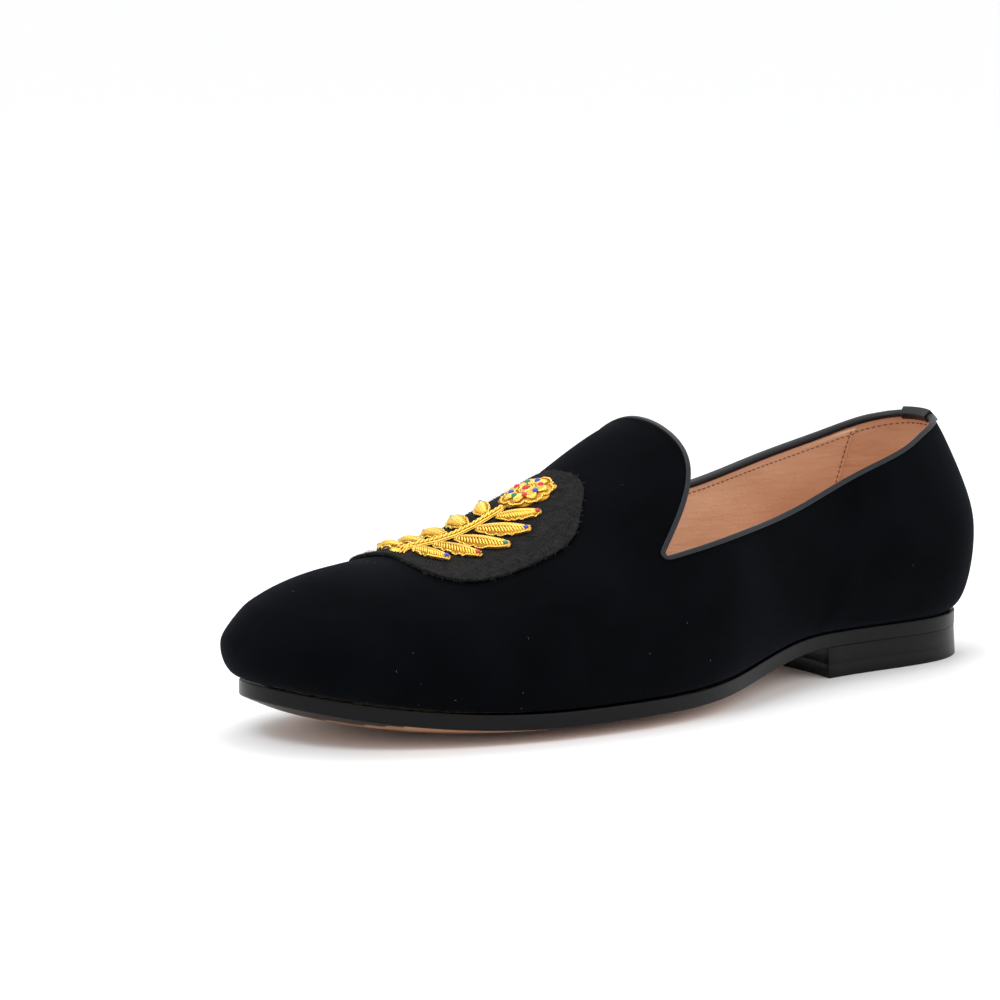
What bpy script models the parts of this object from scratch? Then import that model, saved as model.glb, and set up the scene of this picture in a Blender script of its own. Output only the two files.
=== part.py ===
"""Velvet slipper with a low heel and an embroidered patch: the left shoe of a pair, empty.

The toe points to -Y, the outer (lateral) side to +X, and the shoe stands on z = 0.
Every curved piece comes from one function, upper_point, which gives the upper's outer surface
for a loop number (where around the shoe), a climb (how far up the side) and an inset.
"""
import math

import bmesh
import bpy
import numpy as np

MM = 0.001

# Last: the form that the upper is drawn over
LENGTH = 290 * MM           # toe to back at the upper's widest line
BALL_WIDTH = 100 * MM
HEEL_WIDTH = 66 * MM
TOE_SPRING = 10.6 * MM      # height of the sole's tip over the floor
TOE_HEIGHT = 50 * MM        # floor to the crest over the toes
TONGUE_HEIGHT = 88 * MM     # floor to the crest where the tongue ends
SIDE_HEIGHT = 51 * MM       # floor to the collar at the throat's corner
BACK_HEIGHT = 81 * MM       # floor to the collar at the back
BULGE_HEIGHT = 15 * MM      # sole's top to the widest line
TUCK = 5.5 * MM             # how far the upper turns in below its widest line

# Upper and its trimmings
WALL = 1.6 * MM             # velvet, stiffener and leather lining together
GAP = 0.3 * MM              # clearance between pieces that meet
TAPE = 0.5 * MM             # binding's thickness
TAPE_OUTSIDE = 1.2 * MM     # how far the binding reaches down the upper's outer face
TAPE_INSIDE = 1.0 * MM
THROAT_EASE = 5.0 * MM      # length of each side of the throat's rounded corner
TAB_WIDTH = 13 * MM
TAB_OUTSIDE = 3.4 * MM
TAB_INSIDE = 1.6 * MM

# Sole and heel
SOLE_THICKNESS = 5.0 * MM
SOLE_EDGE = 1.5 * MM        # how far the sole stands out past the upper's lower edge
CROWN = 4.0 * MM            # rise of the sole's edge over its middle at the ball
INSOLE_THICKNESS = 2.5 * MM
HEEL_HEIGHT = 10.0 * MM     # floor to the sole's underside over the heel
TOP_PIECE = 4.5 * MM        # the heel's lowest lift
HEEL_FLARE = 0.6 * MM       # how much the heel spreads from the sole to the floor
HEEL_INSET = 0.2 * MM       # heel's edge in from the sole's edge
BREAST_CURVE = 3.0 * MM     # hollow of the heel's front face

# Patch and its padded embroidery
PATCH_GAP = 0.45 * MM       # the vamp is a saddle here, so its facets need more room
PATCH_THICKNESS = 1.0 * MM
PATCH_LENGTH = 72 * MM
PATCH_WIDTH = 66 * MM
RELIEF = 1.3 * MM           # height of a padded leaf over its edge
PAD_EDGE = 0.4 * MM
STEM_FOOT = -31 * MM        # from the patch's centre, the tongue's way being +
STEM_LENGTH = 42 * MM
STEM_WIDTH = 2.2 * MM
LEAF_LENGTH = 18 * MM
LEAF_WIDTH = 5.8 * MM
BLOSSOM_RADIUS = 9.5 * MM

# Places along the shoe, in shares of its length from the toe
TREAD_FRONT = 0.30
TREAD_BACK = 0.44
BREAST = 0.728
TOE_FAN = 0.165             # sections ahead of this fan round the toe
HEEL_FAN = 0.80             # sections behind this fan round the heel
FAN_EASE = 0.03
THROAT = 0.423              # the throat's corner
PATCH_CENTRE = 0.305

# along: share of LENGTH. lateral, medial: shares of the local width out from the middle line.
# tuck: share of TUCK. bulge: share of BULGE_HEIGHT. full: 2 is an ellipse, more is squarer.
STATIONS = np.array([
    # along lateral medial tuck bulge full
    (0.000, -0.090, 0.090, 1.4, 0.65, 1.80),
    (0.030, 0.170, 0.300, 1.3, 0.67, 1.80),
    (0.100, 0.335, 0.390, 1.0, 0.75, 1.90),
    (0.185, 0.430, 0.435, 0.7, 0.85, 2.05),
    (0.270, 0.490, 0.460, 0.6, 0.93, 2.10),
    (0.355, 0.520, 0.470, 0.6, 0.93, 2.05),
    (0.440, 0.520, 0.455, 0.7, 0.93, 2.00),
    (0.525, 0.485, 0.440, 1.0, 1.00, 2.00),
    (0.610, 0.450, 0.445, 1.3, 1.13, 1.90),
    (0.695, 0.460, 0.465, 1.6, 1.27, 1.80),
    (0.780, 0.475, 0.480, 1.8, 1.47, 1.65),
    (0.865, 0.475, 0.485, 1.65, 1.67, 1.50),
    (0.935, 0.410, 0.430, 1.50, 1.80, 1.50),
    (0.985, 0.230, 0.250, 1.45, 1.87, 1.80),
    (1.000, 0.000, 0.000, 1.45, 1.87, 1.88),
])

# along: share of LENGTH. height: 0 is TOE_HEIGHT, 1 is TONGUE_HEIGHT.
CREST = np.array([
    # along height
    (0.00, -0.25),
    (0.12, 0.00),
    (0.20, 0.06),
    (0.28, 0.13),
    (0.35, 0.34),
    (0.41, 0.55),
    (0.46, 0.80),
    (0.50, 0.96),
    (0.54, 1.05),
    (0.65, 1.20),
    (0.75, 1.30),
    (0.85, 1.34),
    (1.00, 1.34),
])

# way: share of the way from the throat's corner to the back. height: 0 SIDE_HEIGHT, 1 BACK_HEIGHT.
COLLAR = np.array([
    # way height
    (0.0, 0.00),
    (0.2, 0.15),
    (0.4, 0.26),
    (0.6, 0.55),
    (0.8, 0.76),
    (1.0, 1.00),
])

# The tongue's edge from the throat's corner to its tip
TONGUE_REACH = 0.098        # share of LENGTH from the throat's corner back to the tip
TONGUE_EDGE = np.array([
    # climb reach
    (0.00, 0.00),
    (0.20, 0.60),
    (0.40, 0.92),
    (0.65, 1.00),
    (1.00, 1.00),
])


def natural_spline(xs, ys):
    """A smooth curve through the points (xs, ys), as a function."""
    count = len(xs)
    step = np.diff(xs)
    rows = np.eye(count)
    right = np.zeros(count)
    for i in range(1, count - 1):
        rows[i, i - 1:i + 2] = step[i - 1], 2 * (step[i - 1] + step[i]), step[i]
        right[i] = 6 * ((ys[i + 1] - ys[i]) / step[i] - (ys[i] - ys[i - 1]) / step[i - 1])
    bend = np.linalg.solve(rows, right)

    def at(x):
        x = np.asarray(x, float)
        i = np.clip(np.searchsorted(xs, x) - 1, 0, count - 2)
        f = (x - xs[i]) / step[i]
        g = 1 - f
        cubic = (g ** 3 - g) * bend[i] + (f ** 3 - f) * bend[i + 1]
        return g * ys[i] + f * ys[i + 1] + step[i] ** 2 * cubic / 6
    return at


def loop_spline(values):
    """A smooth closed curve through values at 0, 1, 2 and so on."""
    count = len(values)
    shift = np.roll(np.eye(count), 1, 0)
    second = np.roll(values, -1) - 2 * values + np.roll(values, 1)
    bend = np.linalg.solve(4 * np.eye(count) + shift + shift.T, 6 * second)

    def at(t):
        t = np.asarray(t, float) % count
        i = np.floor(t).astype(int) % count
        j = (i + 1) % count
        f = t - np.floor(t)
        g = 1 - f
        cubic = (g ** 3 - g) * bend[i] + (f ** 3 - f) * bend[j]
        return g * values[i] + f * values[j] + cubic / 6
    return at


def ease(x):
    x = np.clip(x, 0, 1)
    return x * x * (3 - 2 * x)


BACK = len(STATIONS) - 1    # loop number of the heel's back; the toe's tip is 0
TURN = 2 * BACK             # loop numbers in one turn: lateral side first, then medial


def around(lateral, medial):
    return loop_spline(np.concatenate([lateral, medial[-2:0:-1]]))


ALONG, LATERAL, MEDIAL, TUCKS, BULGES, FULLS = STATIONS.T
heel_share = ease((ALONG - 0.5) / 0.25)
local_width = BALL_WIDTH * (1 - heel_share) + HEEL_WIDTH * heel_share
plan_x = around(LATERAL * local_width, -MEDIAL * local_width)
plan_y = around(ALONG * LENGTH, ALONG * LENGTH)
tuck_at = around(TUCKS * TUCK, TUCKS * TUCK)
bulge_at = around(BULGES * BULGE_HEIGHT, BULGES * BULGE_HEIGHT)
full_at = around(FULLS, FULLS)
crest_height = natural_spline(CREST[:, 0], TOE_HEIGHT + (TONGUE_HEIGHT - TOE_HEIGHT) * CREST[:, 1])
collar_share = natural_spline(COLLAR[:, 0], COLLAR[:, 1])
tongue_share = natural_spline(TONGUE_EDGE[:, 0], TONGUE_EDGE[:, 1])


def sole_rise(y):
    """Height of the sole's underside over the floor, along its middle."""
    share = y / LENGTH
    toe = TOE_SPRING * (np.clip(TREAD_FRONT - share, 0, 1) / TREAD_FRONT) ** 2
    return toe + HEEL_HEIGHT * ease((share - TREAD_BACK) / (BREAST - TREAD_BACK))


def sole_crown(y, out):
    """Extra height away from the middle line; out is 0 there and 1 at the edge."""
    fade = 1 - ease((y / LENGTH - 0.45) / 0.2)
    return CROWN * fade * np.clip(2 * out - 1, 0, 1) ** 2


def middle_share(share):
    """Where a section meets the middle line; the ends' sections fan from one place."""
    ahead = share - TOE_FAN
    share = 0.5 * (share + TOE_FAN + np.sqrt(ahead ** 2 + FAN_EASE ** 2))
    behind = share - HEEL_FAN
    return 0.5 * (share + HEEL_FAN - np.sqrt(behind ** 2 + FAN_EASE ** 2))


def middle_x(share):
    return -0.06 * BALL_WIDTH * (1 - ease((share - 0.1) / 0.7))


def plan_frame(t):
    """Plan point of the widest line and its outward direction."""
    e = 1e-3
    dx = plan_x(t + e) - plan_x(t - e)
    dy = plan_y(t + e) - plan_y(t - e)
    size = np.hypot(dx, dy)
    return plan_x(t), plan_y(t), dy / size, -dx / size


def upper_point(t, climb, inset=0.0):
    """Point of the upper. climb is 0 at the lower edge, 1 at the widest line and 2 at the crest.

    Above 2 the climb goes down the other side, to 4 at its lower edge.
    """
    t, climb, inset = np.broadcast_arrays(np.asarray(t, float), climb, inset)
    over = climb > 2
    t = np.where(over, TURN - t, t)
    climb = np.where(over, 4 - climb, climb)
    x, y, nx, ny = plan_frame(t)
    low_x = x - nx * (tuck_at(t) + inset)
    low_y = y - ny * (tuck_at(t) + inset)
    low_z = sole_rise(low_y) + sole_crown(low_y, 1) + SOLE_THICKNESS + GAP
    wide_x = x - nx * inset
    wide_y = y - ny * inset
    wide_z = sole_rise(y) + sole_crown(y, 1) + SOLE_THICKNESS + bulge_at(t)
    share = middle_share(y / LENGTH)
    top_x = middle_x(share)
    top_y = share * LENGTH
    top_z = crest_height(share) - inset
    low = np.clip(climb, 0, 1) * math.pi / 2
    high = np.clip(climb - 1, 0, 1) * math.pi / 2
    across = np.cos(high).clip(0) ** (2 / full_at(t))
    up = np.sin(high).clip(0) ** (2 / full_at(t))
    lower = climb <= 1
    px = np.where(lower, low_x + (wide_x - low_x) * np.sin(low), top_x + (wide_x - top_x) * across)
    py = np.where(lower, low_y + (wide_y - low_y) * np.sin(low), top_y + (wide_y - top_y) * across)
    pz = np.where(lower, wide_z - (wide_z - low_z) * np.cos(low), wide_z + (top_z - wide_z) * up)
    return np.stack([px, py, pz], -1)


def loop_at(share):
    """Lateral loop number at a share of the length."""
    t = np.linspace(0, BACK, 1401)
    return np.interp(share * LENGTH, plan_y(t), t)


THROAT_LOOP = float(loop_at(THROAT))


def collar_climb(t):
    """Climb of the collar; ahead of the throat it keeps the corner's climb."""
    t = np.asarray(t, float)
    share = plan_y(np.where(t > BACK, TURN - t, t)) / LENGTH
    way = np.clip((share - THROAT) / (1 - THROAT), 0, 1)
    height = SIDE_HEIGHT + (BACK_HEIGHT - SIDE_HEIGHT) * collar_share(way)
    held = np.where(t > BACK, np.minimum(t, TURN - THROAT_LOOP), np.maximum(t, THROAT_LOOP))
    low = np.ones_like(held)
    high = 2 * low
    for _ in range(30):
        middle = (low + high) / 2
        under = upper_point(held, middle)[..., 2] < height
        low = np.where(under, middle, low)
        high = np.where(under, high, middle)
    return low


def tongue_edge(share):
    """Loop number and climb of the tongue's edge, from the corner at 0 to the tip at 1."""
    start = float(collar_climb(THROAT_LOOP))
    back = THROAT + TONGUE_REACH * tongue_share(share)
    return loop_at(back), start + (2 - start) * np.asarray(share, float)


def throat_corner():
    """Two rim points beside the throat's corner and the corner, as loop number and climb."""
    corner = np.array([THROAT_LOOP, float(collar_climb(THROAT_LOOP))])
    behind = THROAT_LOOP + THROAT_EASE / float(plan_y(THROAT_LOOP + 1) - plan_y(THROAT_LOOP))
    behind = np.array([behind, float(collar_climb(behind))])
    share = np.linspace(0, 0.4, 81)
    edge = np.stack(tongue_edge(share), -1)
    path = upper_point(edge[:, 0], edge[:, 1])
    run = np.concatenate([[0], np.cumsum(np.linalg.norm(np.diff(path, axis=0), axis=1))])
    above = float(np.interp(THROAT_EASE, run, share))
    return behind, corner, above


def tongue_steps(above):
    """Places along the tongue's edge that the upper and its binding share."""
    return above + (1 - above) * np.linspace(0, 1, 10)


# Meshes

def finish(name, bm, color, roughness, metallic=0.0, smooth=60):
    bmesh.ops.remove_doubles(bm, verts=bm.verts, dist=0.01 * MM)
    bmesh.ops.dissolve_degenerate(bm, edges=bm.edges, dist=0.005 * MM)
    bmesh.ops.triangulate(bm, faces=bm.faces)
    bmesh.ops.recalc_face_normals(bm, faces=bm.faces)
    mesh = bpy.data.meshes.new(name)
    bm.to_mesh(mesh)
    bm.free()
    if smooth:
        mesh.shade_smooth()
        mesh.set_sharp_from_angle(angle=math.radians(smooth))
    material = bpy.data.materials.new(name)
    material.use_nodes = True
    shader = material.node_tree.nodes["Principled BSDF"]
    shader.inputs["Base Color"].default_value = (*color, 1)
    shader.inputs["Roughness"].default_value = roughness
    shader.inputs["Metallic"].default_value = metallic
    mesh.materials.append(material)
    item = bpy.data.objects.new(name, mesh)
    bpy.context.scene.collection.objects.link(item)
    return item


def add_grid(bm, points, closed=(False, False)):
    """Quads between neighbouring points of a grid; closed joins its last row or column to its first."""
    rows, columns = points.shape[:2]
    verts = [[bm.verts.new(p) for p in row] for row in points]
    for i in range(rows if closed[0] else rows - 1):
        for j in range(columns if closed[1] else columns - 1):
            a, b = verts[i][j], verts[i][(j + 1) % columns]
            d, c = verts[(i + 1) % rows][j], verts[(i + 1) % rows][(j + 1) % columns]
            bm.faces.new((a, b, c, d))


def make_upper():
    behind, corner, above = throat_corner()
    eased = 0.84 * corner + 0.08 * behind + 0.08 * np.stack(tongue_edge(above), -1)
    front = np.append(np.linspace(0, THROAT_LOOP - 0.22, 21), THROAT_LOOP)
    rear = np.linspace(behind[0], BACK, 25)
    lateral = np.concatenate([front, rear])
    loops = np.concatenate([lateral, TURN - lateral[-2:0:-1]])
    top = collar_climb(loops)
    rise = top - 1              # from the widest line to the collar
    climbs = [row + 0 * top for row in (0, 0.25, 0.5, 0.75, 1)]
    climbs += [1 + 0.3 * rise, np.maximum(top - 0.05, 1 + 0.65 * rise), top]
    climbs = np.array(climbs)
    loop_grid = loops + 0 * climbs
    for column, side in ((len(front) - 1, 1), (len(loops) - len(front) + 1, -1)):
        loop_grid[-1, column] = eased[0] if side > 0 else TURN - eased[0]
        climbs[-1, column] = eased[1]
    shares = np.append(0, tongue_steps(above))
    edge_loop, edge_climb = tongue_edge(shares)
    weight = (front / THROAT_LOOP) ** 3
    start = collar_climb(front)
    vamp_loop = front + (edge_loop[:, None] - THROAT_LOOP) * weight
    vamp_climb = start + (2 - start) * ((edge_climb - edge_climb[0]) / (2 - edge_climb[0]))[:, None]
    vamp_loop[0, -1], vamp_climb[0, -1] = eased
    bm = bmesh.new()
    for inset in (0, WALL):
        add_grid(bm, upper_point(loop_grid, climbs, inset), (False, True))
        add_grid(bm, upper_point(vamp_loop, vamp_climb, inset))
        add_grid(bm, upper_point(vamp_loop, 4 - vamp_climb, inset))

    def edge_band(t, climb, closed=False):
        add_grid(bm, np.stack([upper_point(t, climb, inset) for inset in (0, WALL)]), (False, closed))
    edge_band(loops, np.zeros(len(loops)), True)
    rim = slice(len(front) - 1, len(loops) - len(front) + 2)
    edge_band(loop_grid[-1, rim], climbs[-1, rim])
    edge_band(vamp_loop[:, -1], vamp_climb[:, -1])
    edge_band(vamp_loop[:, -1], 4 - vamp_climb[:, -1])
    return finish("upper", bm, (0.010, 0.011, 0.014), 0.9)


def rim_path():
    """Loop numbers and climbs once around the rim, from the back along the lateral side."""
    behind, corner, above = throat_corner()
    side = np.linspace(BACK, behind[0], 25)
    side = np.stack([side, collar_climb(side)], -1)
    over = np.stack(tongue_edge(above), -1)
    f = np.linspace(0, 1, 8)[1:-1, None]
    bend = behind * (1 - f) ** 2 + 2 * corner * f * (1 - f) + over * f ** 2
    edge = np.stack(tongue_edge(tongue_steps(above)), -1)
    half = np.concatenate([side, bend, edge])
    other = half[-2:0:-1] * (1, -1) + (0, 4)
    return np.concatenate([half, other])


def rim_inward(path):
    """Step of loop number and climb for each metre square to the rim, into the upper."""
    ahead = np.roll(path, -1, 0)
    behind = np.roll(path, 1, 0)
    ahead[-1] = (TURN - path[0, 0], 4 - path[0, 1])
    behind[0] = (TURN - path[-1, 0], 4 - path[-1, 1])
    run = ahead - behind
    e = 1e-3
    t, climb = path.T
    by_loop = (upper_point(t + e, climb) - upper_point(t - e, climb)) / (2 * e)
    by_climb = (upper_point(t, climb + e) - upper_point(t, climb - e)) / (2 * e)
    ll = (by_loop * by_loop).sum(-1)
    lc = (by_loop * by_climb).sum(-1)
    cc = (by_climb * by_climb).sum(-1)
    step = np.stack([-(lc * run[:, 0] + cc * run[:, 1]), ll * run[:, 0] + lc * run[:, 1]], -1)
    size = np.sqrt(ll * step[:, 0] ** 2 + 2 * lc * step[:, 0] * step[:, 1] + cc * step[:, 1] ** 2)
    return step / size[:, None]


def folded_strip(path, inward, clear, ridge, thickness, outside, inside):
    """Points of a strip folded over the rim: sections along the path, clear of what is inside it."""
    middle = WALL / 2
    half = middle + clear
    section = np.array([
        (-clear - thickness, outside),
        (-clear - thickness, 0),
        (-clear - 0.3 * thickness, -ridge - 0.8 * thickness),
        (middle, -ridge - 1.3 * thickness),
        (middle + half + 0.3 * thickness, -ridge - 0.8 * thickness),
        (middle + half + thickness, 0),
        (middle + half + thickness, inside),
        (middle + half, inside),
        (middle + half, -ridge),
        (-clear, -ridge),
        (-clear, outside),
    ])
    t = path[:, 0, None] + inward[:, 0, None] * section[:, 1]
    climb = path[:, 1, None] + inward[:, 1, None] * section[:, 1]
    return upper_point(t, climb, section[:, 0] + 0 * t)


def make_binding():
    path = rim_path()
    points = folded_strip(path, rim_inward(path), GAP, GAP, TAPE, TAPE_OUTSIDE, TAPE_INSIDE)
    bm = bmesh.new()
    add_grid(bm, points, (True, True))
    return finish("topline_binding", bm, (0.035, 0.036, 0.044), 0.5)


def make_tab():
    one_loop = np.diff(upper_point([BACK - 0.5, BACK + 0.5], collar_climb(BACK)), axis=0)
    half = TAB_WIDTH / 2 / float(np.linalg.norm(one_loop))
    t = np.linspace(BACK - half, BACK + half, 7)
    path = np.stack([t[::-1], collar_climb(t[::-1])], -1)
    full = rim_inward(np.concatenate([path[:1] + path[:1] - path[1:2], path, 2 * path[-1:] - path[-2:-1]]))[1:-1]
    clear = GAP + TAPE + GAP
    points = folded_strip(path, full, clear, GAP + 1.3 * TAPE + GAP, TAPE, TAB_OUTSIDE, TAB_INSIDE)
    bm = bmesh.new()
    add_grid(bm, points, (False, True))
    for end in (points[0], points[-1]):
        bm.faces.new([bm.verts.new(p) for p in end])
    return finish("back_tab", bm, (0.030, 0.031, 0.038), 0.55, smooth=40)


# Sole, insole and heel: rings between an outline and the middle line

def outline(t, inset):
    """Plan outline inset from the upper's lower edge, with its place on the middle line."""
    x, y, nx, ny = plan_frame(t)
    back = tuck_at(t) + inset
    share = middle_share(y / LENGTH)
    return np.stack([x - nx * back, y - ny * back], -1), np.stack([middle_x(share), share * LENGTH], -1)


def slab(name, inset, rings, under, over, color, roughness):
    """A closed slab whose two faces are heights over the plan."""
    t = np.linspace(0, TURN, 97)[:-1]
    edge, middle = outline(t, inset)
    rings = np.asarray(rings, float)[:, None]
    px = middle[:, 0] + (edge[:, 0] - middle[:, 0]) * rings
    py = middle[:, 1] + (edge[:, 1] - middle[:, 1]) * rings
    bm = bmesh.new()
    faces = [np.stack([px, py, height(py, rings + 0 * py)], -1) for height in (under, over)]
    for face in faces:
        add_grid(bm, face, (False, True))
    add_grid(bm, np.stack([face[-1] for face in faces]), (False, True))
    return finish(name, bm, color, roughness, smooth=40)


def make_outsole():
    def under(y, out):
        return sole_rise(y) + sole_crown(y, out)
    return slab("outsole", -SOLE_EDGE, (0, 0.5, 0.75, 1), under,
                lambda y, out: under(y, out) + SOLE_THICKNESS, (0.012, 0.012, 0.013), 0.35)


def make_insole():
    def under(y, out):
        return sole_rise(y) + sole_crown(y, out) + SOLE_THICKNESS + GAP
    return slab("insole", WALL + GAP, (0, 0.5, 0.75, 1), under,
                lambda y, out: under(y, out) + INSOLE_THICKNESS, (0.45, 0.25, 0.14), 0.5)


def heel_lift(name, low, high, color, roughness):
    """One block of the heel between two heights, with a hollowed front face."""
    first = float(loop_at(BREAST + 0.004))
    t = np.linspace(first, TURN - first, 29)

    def ring(z):
        flare = HEEL_FLARE * (1 - z / HEEL_HEIGHT)
        edge = outline(t, HEEL_INSET - SOLE_EDGE - flare)[0]
        a, b = edge[-1], edge[0]
        f = np.linspace(0, 1, 8)[1:-1, None]
        front = a + (b - a) * f + np.array([0, BREAST_CURVE]) * 4 * f * (1 - f)
        return np.concatenate([edge, front])
    bm = bmesh.new()
    rings = [np.column_stack([ring(z), np.full(len(t) + 6, z)]) for z in (low, high)]
    add_grid(bm, np.stack(rings), (False, True))
    for points in rings:
        bm.faces.new([bm.verts.new(p) for p in points])
    return finish(name, bm, color, roughness, smooth=40)


# Patch and embroidery, laid on the vamp

crest_run_share = np.linspace(0.17, 0.60, 200)
crest_line = np.stack([middle_x(crest_run_share), crest_run_share * LENGTH, crest_height(crest_run_share)], -1)
crest_run = np.concatenate([[0], np.cumsum(np.linalg.norm(np.diff(crest_line, axis=0), axis=1))])
patch_start = np.interp(PATCH_CENTRE, crest_run_share, crest_run)


def on_vamp(across, back, height):
    """Point over the vamp: across from the crest (lateral is +), back along it, and height over it."""
    across, back, height = np.broadcast_arrays(np.asarray(across, float), back, height)
    share = np.interp(patch_start + back, crest_run, crest_run_share)
    climbs = np.linspace(0, 1, 41)
    points = np.empty(across.shape + (3,))
    for i in np.ndindex(across.shape):
        t = loop_at(share[i])
        direction = -1 if across[i] >= 0 else 1
        section = upper_point(t, 2 + direction * climbs)
        run = np.concatenate([[0], np.cumsum(np.linalg.norm(np.diff(section, axis=0), axis=1))])
        climb = 2 + direction * np.interp(abs(across[i]), run, climbs)
        points[i] = upper_point(t, climb, -height[i])
    return points


def make_patch():
    """Felt patch with a hand-cut outline."""
    # reach: shares of half the patch's size, every 22.5 degrees from its front round by the lateral side
    reach = np.array([1.00, 1.13, 1.22, 1.06, 0.99, 1.03, 0.96, 1.02, 1.00, 1.04, 0.97, 1.00, 1.02, 1.05, 1.18, 1.10])
    angle = np.linspace(0, 2 * math.pi, 41)[:-1]
    radius = loop_spline(reach)(angle / (2 * math.pi) * len(reach))
    rings = np.linspace(0, 1, 7)[:, None]
    across = rings * radius * np.sin(angle) * PATCH_WIDTH / 2
    back = -rings * radius * np.cos(angle) * PATCH_LENGTH / 2
    bm = bmesh.new()
    faces = [on_vamp(across, back, height) for height in (PATCH_GAP, PATCH_GAP + PATCH_THICKNESS)]
    for face in faces:
        add_grid(bm, face, (False, True))
    add_grid(bm, np.stack([face[-1] for face in faces]), (False, True))
    return finish("badge_patch", bm, (0.028, 0.026, 0.027), 0.95, smooth=40)


PAD_BASE = PATCH_GAP + PATCH_THICKNESS + GAP
GOLD = (0.55, 0.36, 0.10)


def make_pad(name, spine, widths, relief):
    """A padded piece: points along a spine, half widths there, and its height over its edge."""
    spine = np.asarray(spine, float)
    run = np.gradient(spine, axis=0)
    run /= np.linalg.norm(run, axis=1)[:, None]
    side = np.stack([run[:, 1], -run[:, 0]], -1)
    out = np.array([-1, -0.5, 0, 0.5, 1])
    plan = spine[:, None] + side[:, None] * (widths[:, None] * out)[..., None]
    dome = (1 - out ** 2) * (widths / widths.max())[:, None]
    faces = [on_vamp(plan[..., 0], plan[..., 1], PAD_BASE),
             on_vamp(plan[..., 0], plan[..., 1], PAD_BASE + PAD_EDGE + relief * dome)]
    bm = bmesh.new()
    for face in faces:
        add_grid(bm, face)
    for strip in ([face[:, 0] for face in faces], [face[:, -1] for face in faces],
                  [face[0] for face in faces], [face[-1] for face in faces]):
        add_grid(bm, np.stack(strip))
    return finish(name, bm, GOLD, 0.35, 1.0, smooth=40)


# foot: share of the stem. angle: degrees out from the stem. size: share of a full leaf. Each has a twin.
LEAVES = np.array([
    # foot angle size
    (0.07, 80, 0.86),
    (0.27, 76, 1.04),
    (0.47, 71, 1.12),
    (0.67, 64, 1.06),
    (0.87, 56, 0.84),
])


def make_embroidery():
    """A spray of paired leaves on a stem, with a blossom at its top."""
    steps = np.linspace(0, 1, 7)
    stem = np.stack([0 * steps, STEM_FOOT + STEM_LENGTH * steps], -1)
    make_pad("spray_stem", stem, STEM_WIDTH / 2 * np.array([0.5, 1, 1, 1, 1, 1, 0.8]), RELIEF * 0.5)
    blade = LEAF_WIDTH / 2 * np.sin(math.pi * (0.06 + 0.88 * steps)) ** 0.8
    for number, (foot, angle, size) in enumerate(LEAVES, 1):
        turn = math.radians(angle) - 0.5 * (steps - 0.5)
        reach = LEAF_LENGTH * size * np.stack([np.sin(turn), np.cos(turn)], -1) / (len(steps) - 1)
        path = np.concatenate([[(0, 0)], np.cumsum(reach[1:], axis=0)])
        path += (STEM_WIDTH / 2 + 1.3 * MM, STEM_FOOT + STEM_LENGTH * foot)
        make_pad(f"spray_leaf_{number}_lateral", path, blade * size, RELIEF)
        make_pad(f"spray_leaf_{number}_medial", path * (-1, 1), blade * size, RELIEF)
    petals = 8
    angle = np.linspace(0, 2 * math.pi, 6 * petals + 1)[:-1]
    radius = BLOSSOM_RADIUS * (0.93 + 0.07 * np.cos(petals * angle))
    rings = np.array([0, 0.4, 0.75, 1])[:, None]
    across = rings * radius * np.sin(angle)
    back = rings * radius * np.cos(angle) + STEM_FOOT + STEM_LENGTH + BLOSSOM_RADIUS + 0.5 * MM
    dome = np.array([0.9, 1.0, 0.8, 0])[:, None] + 0 * across
    bm = bmesh.new()
    faces = [on_vamp(across, back, PAD_BASE), on_vamp(across, back, PAD_BASE + PAD_EDGE + RELIEF * dome)]
    for face in faces:
        add_grid(bm, face, (False, True))
    add_grid(bm, np.stack([face[-1] for face in faces]), (False, True))
    finish("spray_blossom", bm, GOLD, 0.35, 1.0, smooth=40)


def main():
    for item in list(bpy.data.objects):
        bpy.data.objects.remove(item)
    make_upper()
    make_binding()
    make_tab()
    make_outsole()
    make_insole()
    heel_lift("heel_stack", TOP_PIECE + GAP, HEEL_HEIGHT - GAP, (0.010, 0.010, 0.011), 0.4)
    heel_lift("heel_top_piece", 0, TOP_PIECE, (0.012, 0.012, 0.013), 0.45)
    make_patch()
    make_embroidery()
    # The origin is under the middle of the shoe's outline.
    items = list(bpy.data.objects)
    corners = np.array([v.co for item in items for v in item.data.vertices])
    centre = (corners.min(0) + corners.max(0)) / 2
    for item in items:
        item.location = (-centre[0], -centre[1], 0)


main()
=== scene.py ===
import math
import random

import bmesh
import bpy
import numpy as np
from mathutils import Matrix, Vector
from mathutils.bvhtree import BVHTree


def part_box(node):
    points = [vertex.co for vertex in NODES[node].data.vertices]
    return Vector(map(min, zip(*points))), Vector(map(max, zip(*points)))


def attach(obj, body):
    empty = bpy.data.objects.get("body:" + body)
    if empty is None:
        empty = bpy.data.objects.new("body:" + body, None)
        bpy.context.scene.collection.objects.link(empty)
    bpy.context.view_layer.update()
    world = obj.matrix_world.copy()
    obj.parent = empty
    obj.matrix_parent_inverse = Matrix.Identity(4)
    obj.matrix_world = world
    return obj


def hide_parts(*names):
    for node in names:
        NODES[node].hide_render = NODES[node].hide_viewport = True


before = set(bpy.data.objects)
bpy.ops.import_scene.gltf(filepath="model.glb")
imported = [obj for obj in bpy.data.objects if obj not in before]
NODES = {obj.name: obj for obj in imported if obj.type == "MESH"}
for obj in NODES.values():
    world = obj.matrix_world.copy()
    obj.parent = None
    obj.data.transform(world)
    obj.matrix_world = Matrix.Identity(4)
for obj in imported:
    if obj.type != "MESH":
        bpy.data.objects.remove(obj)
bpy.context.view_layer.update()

MM = 0.001
scene = bpy.context.scene

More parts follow.
